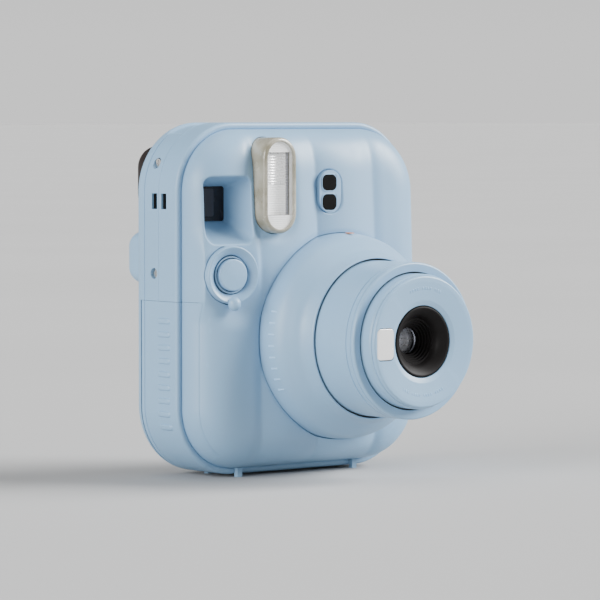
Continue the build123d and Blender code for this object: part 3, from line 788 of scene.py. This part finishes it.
def sensor_pocket():
    """The rolled lip round the light-sensor plate."""
    rings = lip_rings(SENSOR_MOUTH, SENSOR_LIP)
    floor = rings[-1].copy()
    floor[:, 1] = -11.0
    rings.append(floor)
    skin("sensor_pocket", rings, blue, "camera_body")


# ---- Rear casing and battery door


EYEPIECE = ((-47.2, -30.5), (89.8, 113.8), 7.6)
EYEPIECE_ROLL = 3.6


def rear_casing():
    """The rear casing with the groove near its back edge and the rounded back."""
    shell = ShellRings(520)
    shell.trace((0.16, PARTING_Y + 0.05), (0.0, PARTING_Y + 0.25))
    plain = outline_radii(shell.angles, 0)
    sunk = outline_radii(shell.angles, 1)
    x, z = shell.around(plain)
    across = smooth_step((x + 41.0) / 1.4) * smooth_step((45.0 - x) / 1.4) * (z > HEIGHT / 2)
    levels = [10.9, 11.2, 11.5, 11.8, 12.1, 12.5, 14, 16, 18.0, 18.05, 18.15, 18.4, 18.5, 18.6,
              19.2, 19.6, 20.0, 20.3]
    for y in levels:
        along = smooth_step((y - 11.0) / 1.2) * smooth_step((20.3 - y) / 1.2)
        groove = GROOVE_DEPTH if 18.1 < y < 18.45 else 0.0
        inset = np.maximum(0.9 * across * along, groove * (1 - across))
        shell.add(plain + (sunk - plain) * inset, y)
    roll = BACK_Y - BAND_BACK_Y
    for angle in quarter(9)[1:]:
        shell.outline(roll * (1 - math.cos(angle)), BAND_BACK_Y + roll * math.sin(angle))
    edge = outline_radii(shell.angles, roll)
    for share in (0.75, 0.5, 0.25, 0.1):
        shell.add(edge * share, BACK_Y)
    for share in (0.1, 0.5):
        shell.add(edge * share, BACK_Y - WALL)
    shell.trace((roll, BACK_Y - WALL), (WALL, BACK_Y - WALL), (WALL, PARTING_Y + 0.05))
    piece = shell.mesh("rear_casing", "pastel_shell", ["rear_shell"])
    doorway = door_outline(DOOR_GAP)
    cutters = [
        prism("doorway", doorway, (BACK_Y - WALL - 1, BACK_Y + 3)),
        prism("hinge_relief", [(x + HINGE_RELIEF, z) for x, z in doorway], (BACK_Y - WALL - 1, BACK_Y + 3)),
        box_cutter("knuckle_room", KNUCKLE_X, (KNUCKLE_Y, BACK_Y + 3), KNUCKLE_Z),
        prism("eyepiece_hole", rounded_rectangle(*EYEPIECE), (19, BACK_Y + 3)),
        box_cutter("latch_slot", (-45.2, -41.8), (19, BACK_Y + 3), (67.4, 80.6)),
        strap_cutter(STRAP_SLOTS[1]),
        *[round_cutter(end + "_screw_hole", y, z, SCREW_HOLE) for end, y, z in SIDE_SCREWS],
        battery_zone((0, BAND_BACK_Y + 0.3), WALL),
    ]
    cut(piece, cutters)


def round_cutter(name, y, z, radius):
    """A round hole through the grip's side."""
    angles = np.linspace(0, 2 * math.pi, 40, endpoint=False)
    points = [(x, y + radius * math.cos(a), z + radius * math.sin(a)) for x in (-60, -45) for a in angles]
    return cutter(name, points, len(angles))


def door_outline(grow):
    """The back door's outline, with a step round the eyepiece."""
    left, right, bottom, top = -38.0 - grow, 44.0 + grow, 7.0 - grow, 115.0 + grow
    notch_x, notch_z, step = -26.0 - grow, 86.0 + grow, 4.0
    radius = 16.0 + grow
    points = []
    def corner(cx, cz, r, start, sweep):
        for i in range(13):
            angle = math.radians(start + sweep * i / 12)
            points.append((cx + r * math.cos(angle), cz + r * math.sin(angle)))
    corner(right - radius, top - radius, radius, 0, 90)
    points.append((notch_x, top))
    corner(notch_x - step, notch_z + step, step, 0, -90)
    points.append((left, notch_z))
    corner(left + radius, bottom + radius, radius, 180, 90)
    corner(right - radius, bottom + radius, radius, 270, 90)
    return points


def battery_cover():
    """The battery door: a bent strip round the grip's corner with a lip on the panel."""
    band = [(0.16, 20.15), (0.0, 19.95), (0.0, 18.5), (GROOVE_DEPTH, 18.4), (GROOVE_DEPTH, 18.15),
            (0.0, 18.05), (0.0, 14.0), (0.0, 8.0), *rim_bead()]
    rings = [at(cover_path(inset), y) for inset, y in band]
    for inset in (2.32, 2.45, 2.65, 2.95, 3.3, LIP - 0.15, LIP):
        path = np.array(cover_path(inset))
        drop = 0.12 if inset == LIP else 0.0
        depth = panel_depth(path[:, 0], path[:, 1]) - drop
        rings.append([(x, -d, z) for (x, z), d in zip(path, depth)])
    for inset, y in ((LIP, 0.8), (2.0, 2.0), (2.0, 20.15)):
        rings.append(at(cover_path(inset), y))
    points = np.array(rings).transpose(1, 0, 2)
    faces = capped(*points.shape[:2])
    soften(add_mesh("battery_cover_skin", points.reshape(-1, 3), faces, blue, "battery_cover",
                    ["battery_door"]))
    for index in range(9):
        z = 17.0 + 4.6 * index
        bar = [(-WIDTH / 2, y, z + dz) for y, dz in rounded_rectangle((4.0, 10.6), (-0.9, 0.9), 0.88, 5)]
        curved_bar("grip_bar_%d" % index, bar, "battery_cover")


def curved_bar(name, outline, body):
    """One low raised bar on the grip's side, following the corner's curve."""
    outline = np.array(outline)
    count = len(outline)
    middle = outline.mean(axis=0)
    points = []
    for grow, lift in ((1.12, 0.0), (1.0, 0.4), (0.86, 0.56), (0.5, 0.6)):
        for _, y, z in middle + (outline - middle) * grow:
            sunk = max(0.0, CORNER - z)
            surface = -WIDTH / 2 + CORNER - math.sqrt(CORNER ** 2 - sunk ** 2)
            points.append((surface - lift + 0.03, y, z))
    faces = ring_faces(4, count) + [tuple(range(3 * count, 4 * count)), tuple(range(count))]
    soften(add_mesh(name, points, faces, blue, body), 60)


# ---- Lens


def lens_collar():
    """The flared collar round the lens, a smooth roll that thins towards the barrel."""
    outer = catmull([(36.0, -4.0), (36.0, -12.0), (35.95, -17.5), (34.9, -22.3), (32.3, -25.9),
                     (30.0, -28.6), (28.9, -31.2), (28.5, -32.6)], 8)
    inner = [(28.2, -33.0), (27.8, -33.05), (27.5, -32.7), (27.5, -14.0), (29.0, -14.0), (29.0, -23.6),
             (32.4, -22.4), (33.8, -20.0), (33.8, -4.0)]
    # the collar's inner faces and front lip get painted shade
    lathe("lens_collar", outer + inner, painted_shade_inside(blue, 27.65), "camera_body",
          ["lens_cowl"], count=240)
    for index in range(8):
        collar_tick(index, math.radians(180 - 16 + 6.4 * index))


def collar_tick(index, angle):
    """One short raised tick on the collar's left side."""
    start, end = Vector((35.95, -18.2)), Vector((35.25, -20.9))
    points = []
    for share, lift in ((0, 0.0), (0.08, 0.36), (0.92, 0.36), (1, 0.0)):
        r, y = start.lerp(end, share)
        for side, edge in ((-0.42, 0.0), (-0.26, lift), (0.26, lift), (0.42, 0.0)):
            reach = r + edge - 0.02
            turn = angle + side / r
            points.append((LENS_X + reach * math.cos(turn), y, LENS_Z + reach * math.sin(turn)))
    faces = ring_faces(4, 4, wrap_points=False)
    # the tick's paler colour is a painted highlight
    soften(add_mesh("collar_tick_%d" % index, points, faces, mark_painted_highlight, "camera_body"), 60)


def outer_barrel():
    """The turning ring with its two fine grooves and inward sloping front."""
    profile = rounded_profile([
        (27.0, -23.5, 0), (27.0, -48.7, 0.08), (26.72, -48.8, 0), (26.72, -49.15, 0), (27.0, -49.25, 0.08),
        (27.0, -51.1, 0.08), (26.8, -51.2, 0), (26.8, -51.5, 0), (27.0, -51.6, 0.08), (27.0, -53.0, 0.7),
        (23.6, -52.5, 0.25), (23.6, -23.5, 0),
    ])
    # the ring's inner face and lip get painted shade
    lathe("outer_barrel", profile, painted_shade_inside(blue_soft, 23.8), "lens_ring",
          ["lens_ring"], count=240)


def seals():
    """The dark seals in the gaps round the turning ring and the sliding barrel."""
    outer = [(27.06, -32.0), (27.46, -32.0), (27.46, -29.6), (27.3, -29.4), (27.06, -29.4)]
    lathe("collar_seal", outer, flocking, "camera_body", count=200)
    inner = [(23.26, -51.8), (23.56, -51.8), (23.56, -49.8), (23.4, -49.6), (23.26, -49.6)]
    lathe("barrel_seal", inner, flocking, "lens_ring", count=200)


def inner_barrel():
    """The sliding barrel with its fine front step."""
    profile = rounded_profile([
        (23.2, -23.5, 0), (23.2, -56.6, 0.35), (22.75, -57.2, 0), (12.4, -57.2, 0), (12.4, -55.2, 0),
        (21.2, -55.2, 0), (21.2, -23.5, 0),
    ])
    # the barrel's inner face gets painted shade
    lathe("barrel_skin", profile, painted_shade_inside(blue_soft, 22.2), "lens_barrel",
          ["inner_barrel"], count=200)


def front_disc():
    """The dished front disc with the mirror's recess and generic marks."""
    profile = rounded_profile([
        (22.6, -57.25, 0), (22.6, -58.7, 0.75), (20.6, -58.66, 0.9), (14.2, -58.1, 1.0), (12.4, -57.6, 0.3),
        (12.4, -57.25, 0),
    ])
    piece = lathe("front_disc", profile, blue_soft, "lens_barrel", ["face_plate"], count=240)
    cut(piece, [prism("mirror_recess", mirror_outline(0.3), (-62, -57.8))])
    plate("mirror_bed", mirror_outline(0.27), (-57.95, -57.82), 0.04, black, "lens_barrel",
          spacing=0.3)
    plate("mirror_glass", mirror_outline(0.0), (-58.35, -57.85), 0.2, mirror, "lens_barrel",
          ["selfie_mirror"], spacing=0.3)
    for centre, sweep, marks in ((90, 46, 14), (270, 60, 19)):
        for index in range(marks):
            if index % 5 != 3:
                angle = centre + sweep * (index / (marks - 1) - 0.5)
                disc_mark("disc_mark_%d_%d" % (centre, index), math.radians(angle), 18.3)


def mirror_outline(grow):
    """The selfie mirror's outline beside the lens."""
    x = LENS_X - 17.3
    z = (LENS_Z - 5.6 - grow, LENS_Z + 5.0 + grow)
    return rounded_rectangle((x - 3.75 - grow, x + 3.75 + grow), z, 1.6 + grow)


def dash(name, size, rise, spot, body):
    """One low raised dash. spot() gives the layout point from (across, along, lift)."""
    points = []
    for grow, lift in ((1.0, 0.0), (0.6, rise)):
        for across, along in ((-1, -1), (1, -1), (1, 1), (-1, 1)):
            points.append(spot(across * size[0] * grow, along * size[1] * grow, lift))
    faces = ring_faces(2, 4) + [(4, 5, 6, 7)]
    # the dash's paler colour is a painted highlight
    add_mesh(name, points, faces, mark_painted_highlight, body, smooth=False)


def disc_mark(name, angle, radius):
    """One dash on the front disc."""
    def spot(across, along, lift):
        r, turn = radius + across, angle + along / radius
        surface = -58.66 + 0.56 * (20.6 - r) / 6.4
        return LENS_X + r * math.cos(turn), surface + 0.02 - lift, LENS_Z + r * math.sin(turn)
    dash(name, (0.55, 0.16), 0.17, spot, "lens_barrel")


def bezel():
    """The glossy black cone and its stepped light baffles."""
    steps = [(7.9, -53.6)]
    for index in range(5):
        r, y = 7.3 - 0.66 * index, -53.6 + 0.82 * index
        steps += [(r, y), (r, y + 0.82)]
    cone = catmull([(12.2, -57.0), (12.05, -57.5), (11.5, -57.7), (10.2, -56.9), (8.7, -55.4),
                    (7.9, -53.6)], 5)
    profile = cone + steps[1:] + [(4.66, -47.0), (12.2, -47.0)]
    lathe("bezel_cone", profile, gloss_black, "lens_barrel", ["lens_bezel"], count=160)


# ---- Button, flash and small fittings


def button_and_lever():
    """The release button and the dished lever ring with its ball."""
    cap = rounded_profile([
        (0.01, 7.6, 0), (2.0, 7.6, 0), (2.0, 1.2, 0), (5.5, 1.2, 0.2), (5.5, -1.05, 0.55), (0.01, -1.2, 0),
    ])
    lathe("button_cap", cap, blue_soft, "release_button", ["shutter_button"],
          96, BUTTON_FRAME)
    ring = catmull([(6.8, 0.9), (7.3, 0.35), (8.2, -0.35), (9.0, -0.9), (9.55, -1.12),
                    (9.9, -0.85), (10.0, -0.3)], 6)
    profile = ring + [(10.0, 2.7), (6.8, 2.7)]
    lathe("lever_ring", profile, blue_soft, "self_timer", ["self_timer_lever"],
          128, BUTTON_FRAME)
    lever_ball()
    for index in range(9):
        if index % 4 != 3:
            lever_mark(index, math.radians(150 + 11.5 * index))


def lever_ball():
    """The ball on the lever's lower edge, blended into the ring."""
    centre, radius = Vector((0, -1.5, -LEVER_RADIUS - 0.1)), 2.2
    points = []
    rows, count = 14, 28
    for row in range(rows + 1):
        tilt = math.radians(104) * row / rows
        for j in range(count):
            turn = 2 * math.pi * j / count
            offset = Vector((math.sin(tilt) * math.cos(turn), -math.cos(tilt),
                             math.sin(tilt) * math.sin(turn)))
            neck = 1.0 + 0.22 * max(0.0, offset.z) * max(0.0, math.sin(tilt))
            points.append(BUTTON_FRAME @ (centre + offset * radius * neck))
    faces = ring_faces(rows + 1, count) + [tuple(range(rows * count, (rows + 1) * count))]
    soften(add_mesh("lever_ball", points, faces, blue_soft, "self_timer"), 60)


def lever_mark(index, angle):
    """One dash on the lever's dished face."""
    def spot(across, along, lift):
        r = 8.15 + across
        turn, height = angle + along / r, -0.30 - across * 0.78 - lift
        return BUTTON_FRAME @ Vector((r * math.cos(turn), height, r * math.sin(turn)))
    dash("lever_mark_%d" % index, (0.42, 0.14), 0.16, spot, "self_timer")


def flash_parts():
    """The flash: a hazy rim, a ribbed window, cream ends and a bright trough."""
    outline = even(rounded_rectangle(FLASH_X, FLASH_Z, FLASH_CORNER), 0.4)
    normals = outward(outline)
    section = [(0.0, -6.0), (0.0, -15.6)]
    for angle in range(15, 91, 15):
        turn = math.radians(angle)
        section.append((1.2 * (1 - math.cos(turn)), -15.6 - 1.2 * math.sin(turn)))
    section += [(1.35, -16.78), (1.5, -16.5), (1.5, -6.0)]
    skin("flash_rim", [at(outline - normals * inset, y) for inset, y in section], frosted, "camera_body",
         ["flash_cover"], 40, True)
    flash_window()


def stadium_half(z, inset):
    """Half the flash cover's width at a height, drawn in by inset."""
    radius = (FLASH_X[1] - FLASH_X[0]) / 2 - inset
    past = max(0.0, FLASH_Z[0] + inset + radius - z, z - (FLASH_Z[1] - inset - radius))
    return math.sqrt(max(0.0, radius ** 2 - past ** 2))


def ribbed_sheet(name, x_span, z_span, y, rib, pitch, material, hollow=0.0):
    """A sheet inside the flash with fine level ribs, clipped to the cover's outline."""
    rows, columns = int((z_span[1] - z_span[0]) / pitch * 8) + 2, 11
    middle = (FLASH_X[0] + FLASH_X[1]) / 2
    points = []
    for i in range(rows):
        z = z_span[0] + (z_span[1] - z_span[0]) * i / (rows - 1)
        half = stadium_half(z, 1.45)
        left, right = max(x_span[0], middle - half), min(x_span[1], middle + half)
        left = min(left, right)
        for j in range(columns):
            share = j / (columns - 1)
            dip = hollow * (1 - (2 * share - 1) ** 2)
            depth = y + dip + rib * abs(math.sin(math.pi * z / pitch))
            points.append((left + (right - left) * share, depth, z))
    faces = ring_faces(rows, columns, wrap_points=False)
    add_mesh(name, points, faces, material, "camera_body")


def flash_window():
    """The clear pane and what shows through it."""
    level, low, high = (90.3, 111.8), (85.3, 90.2), (111.9, 115.5)
    for name, x_span, z_span, y, rib, pitch, material, hollow in (
        ("pane", (-26, -13), (FLASH_Z[0] + 1.5, FLASH_Z[1] - 1.5), -16.6, 0.05, 1.9, pane, 0.0),
        ("block_top", (-25.3, -13.7), high, -15.9, 0.05, 0.7, cream, 0.0),
        ("block_bottom", (-25.3, -13.7), low, -15.9, 0.05, 0.7, cream, 0.0),
        ("prism_left", (-25.3, -24.5), level, -15.7, 0.08, 0.95, cream, 0.0),
        ("trough_upper", (-24.4, -16.6), (100.9, 111.8), -15.5, 0.12, 0.95, reflector, 1.3),
        ("trough_lower", (-24.4, -16.6), (90.3, 100.8), -15.5, 0.08, 0.8, cream, 1.3),
        ("channel", (-16.5, -15.1), level, -15.1, 0.12, 0.95, channel, 0.0),
        ("prism_right", (-15.0, -13.7), level, -15.7, 0.08, 0.95, cream, 0.0),
    ):
        ribbed_sheet("flash_" + name, x_span, z_span, y, rib, pitch, material, hollow)


def sensor_glass():
    """The two dark sensor windows in their chamfered seats."""
    windows = (("sensor_glass_low", 94.3, ["sensor_windows"]), ("sensor_glass_high", 101.1, []))
    for name, z, replaced in windows:
        plate(name, rounded_rectangle((1.7, 8.1), (z - 2.8, z + 2.8), 2.0), (-13.42, -12.3), 0.12,
              sensor_black, "camera_body", replaced, spacing=0.3)
        rim = even(rounded_rectangle((1.4, 8.4), (z - 3.1, z + 3.1), 2.3), 0.3)
        normals = outward(rim)
        section = [(0.0, -13.15), (-0.05, -13.38), (0.1, -13.46), (0.28, -13.4), (0.3, -13.15)]
        skin(name + "_rim", [at(rim - normals * inset, y) for inset, y in section], blue, "camera_body",
             angle=60, loop=True)


def eyepiece():
    """The dark rubbery rim round the eyepiece, with its rounded pocket."""
    outline = even(rounded_rectangle(*EYEPIECE), 0.5)
    normals = outward(outline)
    rings = [at(outline, BACK_Y - WALL)]
    for angle in quarter(10):
        moved = outline - normals * EYEPIECE_ROLL * (1 - math.cos(angle))
        rings.append(at(moved, 27.3 + 3.7 * math.sin(angle)))
    last = outline - normals * EYEPIECE_ROLL
    pocket = match_outline(rounded_rectangle((-43.5, -33.5), (91.8, 102.2), 3.5), outline)
    for share, y in ((0.85, 31.0), (0.97, 30.7), (1.0, 30.2), (1.0, BACK_Y - WALL)):
        rings.append(at(last * (1 - share) + pocket * share, y))
    skin("eyepiece_rim", rings, dark, "camera_body", ["eyepiece_surround"], loop=True)


def viewfinder_glass():
    """The dark window with the paler frame seen inside it."""
    plate("viewfinder_pane", rounded_rectangle((-44.2, -31.0), (88.0, 100.2), 1.3), (0.62, 1.7), 0.15, smoke,
          "camera_body", ["viewfinder_window"], spacing=0.4)
    plate("viewfinder_frame", rounded_rectangle((-43.7, -35.5), (89.7, 99.3), 0.7), (0.56, 0.7), 0.05,
          smoke_pale, "camera_body", spacing=0.4)


def strap_pockets():
    """The two black cups behind the strap slots in the grip's side, painted shade standing in for the dark
    deep inside each slot.
    """
    for index, y in enumerate(STRAP_SLOTS):
        outline = np.array(rounded_rectangle(y, STRAP_Z, STRAP_CORNER, 3))
        middle = outline.mean(axis=0)
        points = []
        for x, size in ((-51.2, 1.0), (-49.0, 0.98), (-47.4, 0.94), (-46.8, 0.82)):
            points += [(x, y_, z) for y_, z in middle + (outline - middle) * size]
        count = len(outline)
        faces = ring_faces(4, count) + [tuple(range(3 * count, 4 * count))]
        # black cup as painted shade inside the slot
        soften(add_mesh("strap_pocket_%d" % index, points, faces, black, "camera_body"), 50)


def latch_dome():
    """The latch's domed finger piece with its stem."""
    outline = even(rounded_rectangle(LATCH_X, LATCH_Z, 4.2), 0.5)
    middle = outline.mean(axis=0)
    section = [(1.0, BACK_Y + 0.3)]
    for i in range(15):
        angle = math.radians(86 * i / 14)
        section.append((math.cos(angle) ** 0.42, 26.4 + 8.6 * math.sin(angle)))
    points = [point for size, y in section for point in at(middle + (outline - middle) * size, y)]
    faces = capped(len(section), len(outline))
    soften(add_mesh("latch_bump", points, faces, blue, "latch", ["door_latch"]), 60)
    plate("latch_stem", rounded_rectangle((-44.9, -42.1), LATCH_STEM_Z, 0.6), (19.4, BACK_Y + 0.5), 0.3, blue,
          "latch", spacing=0.4)


# ---- Camera, light and floor


def stage_and_light():
    """A pale floor and soft light from above, the right and the front."""
    floor = bpy.data.meshes.new("floor")
    reach = 30.0
    corners = [(-reach, -reach, 0), (reach, -reach, 0), (reach, reach, 0), (-reach, reach, 0)]
    floor.from_pydata(corners, [], [(0, 1, 2, 3)])
    piece = put("floor", floor)
    finish = Finish("floor_white")
    finish.feed("Base Color", finish.two_tone(finish.noise(3), (0.42,) * 3, (0.44,) * 3))
    set_input(finish.material, "Roughness", 0.9)
    floor.materials.append(finish.material)
    lamp("key", (1.1, -0.6, 0.7), 34, 8.0)
    lamp("left_fill", (-1.3, -0.1, 0.4), 40, 4.2)
    lamp("top", (-0.1, 0.1, 1.2), 50, 0.9)
    world = bpy.data.worlds.new("studio")
    world.use_nodes = True
    tree = world.node_tree
    split = tree.nodes.new("ShaderNodeSeparateXYZ")
    tree.links.new(tree.nodes.new("ShaderNodeTexCoord").outputs["Generated"], split.inputs[0])
    glow = remap(tree, split.outputs["Z"], (0.02, 0.35), (0.93, 0.2))
    tree.links.new(glow, tree.nodes["Background"].inputs["Strength"])
    tree.nodes["Background"].inputs["Color"].default_value = (1, 1, 1, 1)
    bpy.context.scene.world = world


def lamp(name, spot, spread, strength):
    """A broad soft light from one direction, as from a large panel."""
    data = bpy.data.lights.new(name, "SUN")
    data.angle = math.radians(spread)
    data.energy = strength
    piece = put(name, data)
    piece.location = spot
    piece.rotation_euler = (-Vector(spot)).to_track_quat("-Z", "Y").to_euler()


def studio_camera():
    """The view: from the front left, slightly above."""
    azimuth, elevation, distance = math.radians(-39.2), math.radians(2.9), 1.278
    target = Vector((0.0, ORIGIN.y, ORIGIN.z + 0.061))
    back = Vector((math.sin(azimuth) * math.cos(elevation), -math.cos(azimuth) * math.cos(elevation),
                   math.sin(elevation)))
    data = bpy.data.cameras.new("view")
    data.lens = 218.1
    data.sensor_width = 36.0
    data.clip_end = 50.0
    data.shift_x = 0.0093
    data.shift_y = -0.0063
    piece = put("view", data)
    piece.location = target + back * distance
    piece.rotation_euler = (-back).to_track_quat("-Z", "Y").to_euler()
    bpy.context.scene.camera = piece


dress_cad_nodes()
frame["nodes"]["side_screws"].data.materials[0] = screw_steel
frame["nodes"]["button_seat"].data.materials[0] = blue
studio_camera()
stage_and_light()
front_casing()
viewfinder_pocket()
sensor_pocket()
rear_casing()
battery_cover()
lens_collar()
outer_barrel()
inner_barrel()
seals()
front_disc()
bezel()
button_and_lever()
flash_parts()
sensor_glass()
viewfinder_glass()
eyepiece()
strap_pockets()
latch_dome()
